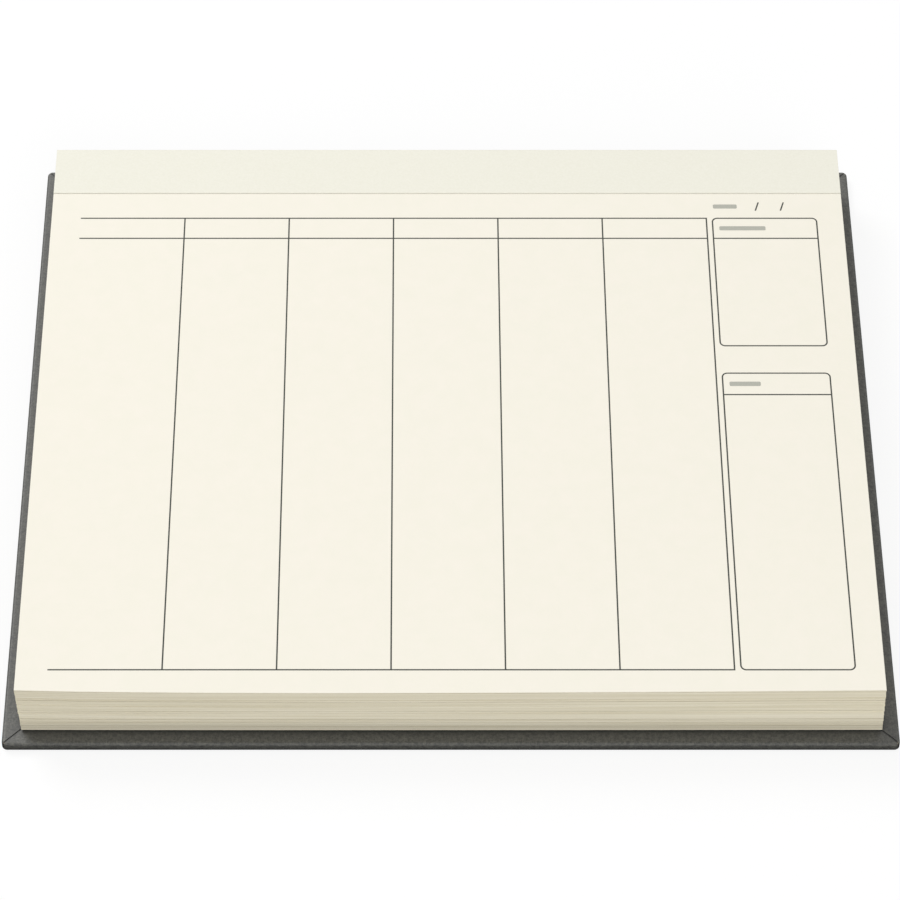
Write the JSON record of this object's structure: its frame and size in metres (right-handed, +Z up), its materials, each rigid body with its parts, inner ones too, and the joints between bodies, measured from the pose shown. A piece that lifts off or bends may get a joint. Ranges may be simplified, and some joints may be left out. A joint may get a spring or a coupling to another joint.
{
  "type": "weekly planner pad",
  "caption": "Landscape desk pad of tear-off weekly planner sheets, held at the head by a paper strip and mounted on a cloth-covered board.",
  "frame": {"origin": "middle of the covered board's underside, on the surface the pad lies on", "axes": "+X to the right of the page (the long side), +Y towards the head where the sheets are held, +Z up out of the page"},
  "size_m": [0.2908, 0.2526, 0.0261],
  "materials": {
    "book_cloth": "matte",
    "grey_board": "matte",
    "backing_card": "matte",
    "cream_paper": "matte",
    "strip_paper": "matte",
    "grey_ink": "matte",
    "pale_ink": "matte"
  },
  "bodies": {
    "root": {"board_core": "grey_board", "cover_wrap": "book_cloth", "backing_card": "backing_card", "page_block": "cream_paper", "binding_strip": "strip_paper", "week_ruling": "grey_ink", "upper_box_ruling": "grey_ink", "lower_box_ruling": "grey_ink", "date_stroke_1": "grey_ink", "date_stroke_2": "grey_ink", "date_bar": "pale_ink", "upper_heading_bar": "pale_ink", "lower_heading_bar": "pale_ink"}
  },
  "joints": []
}
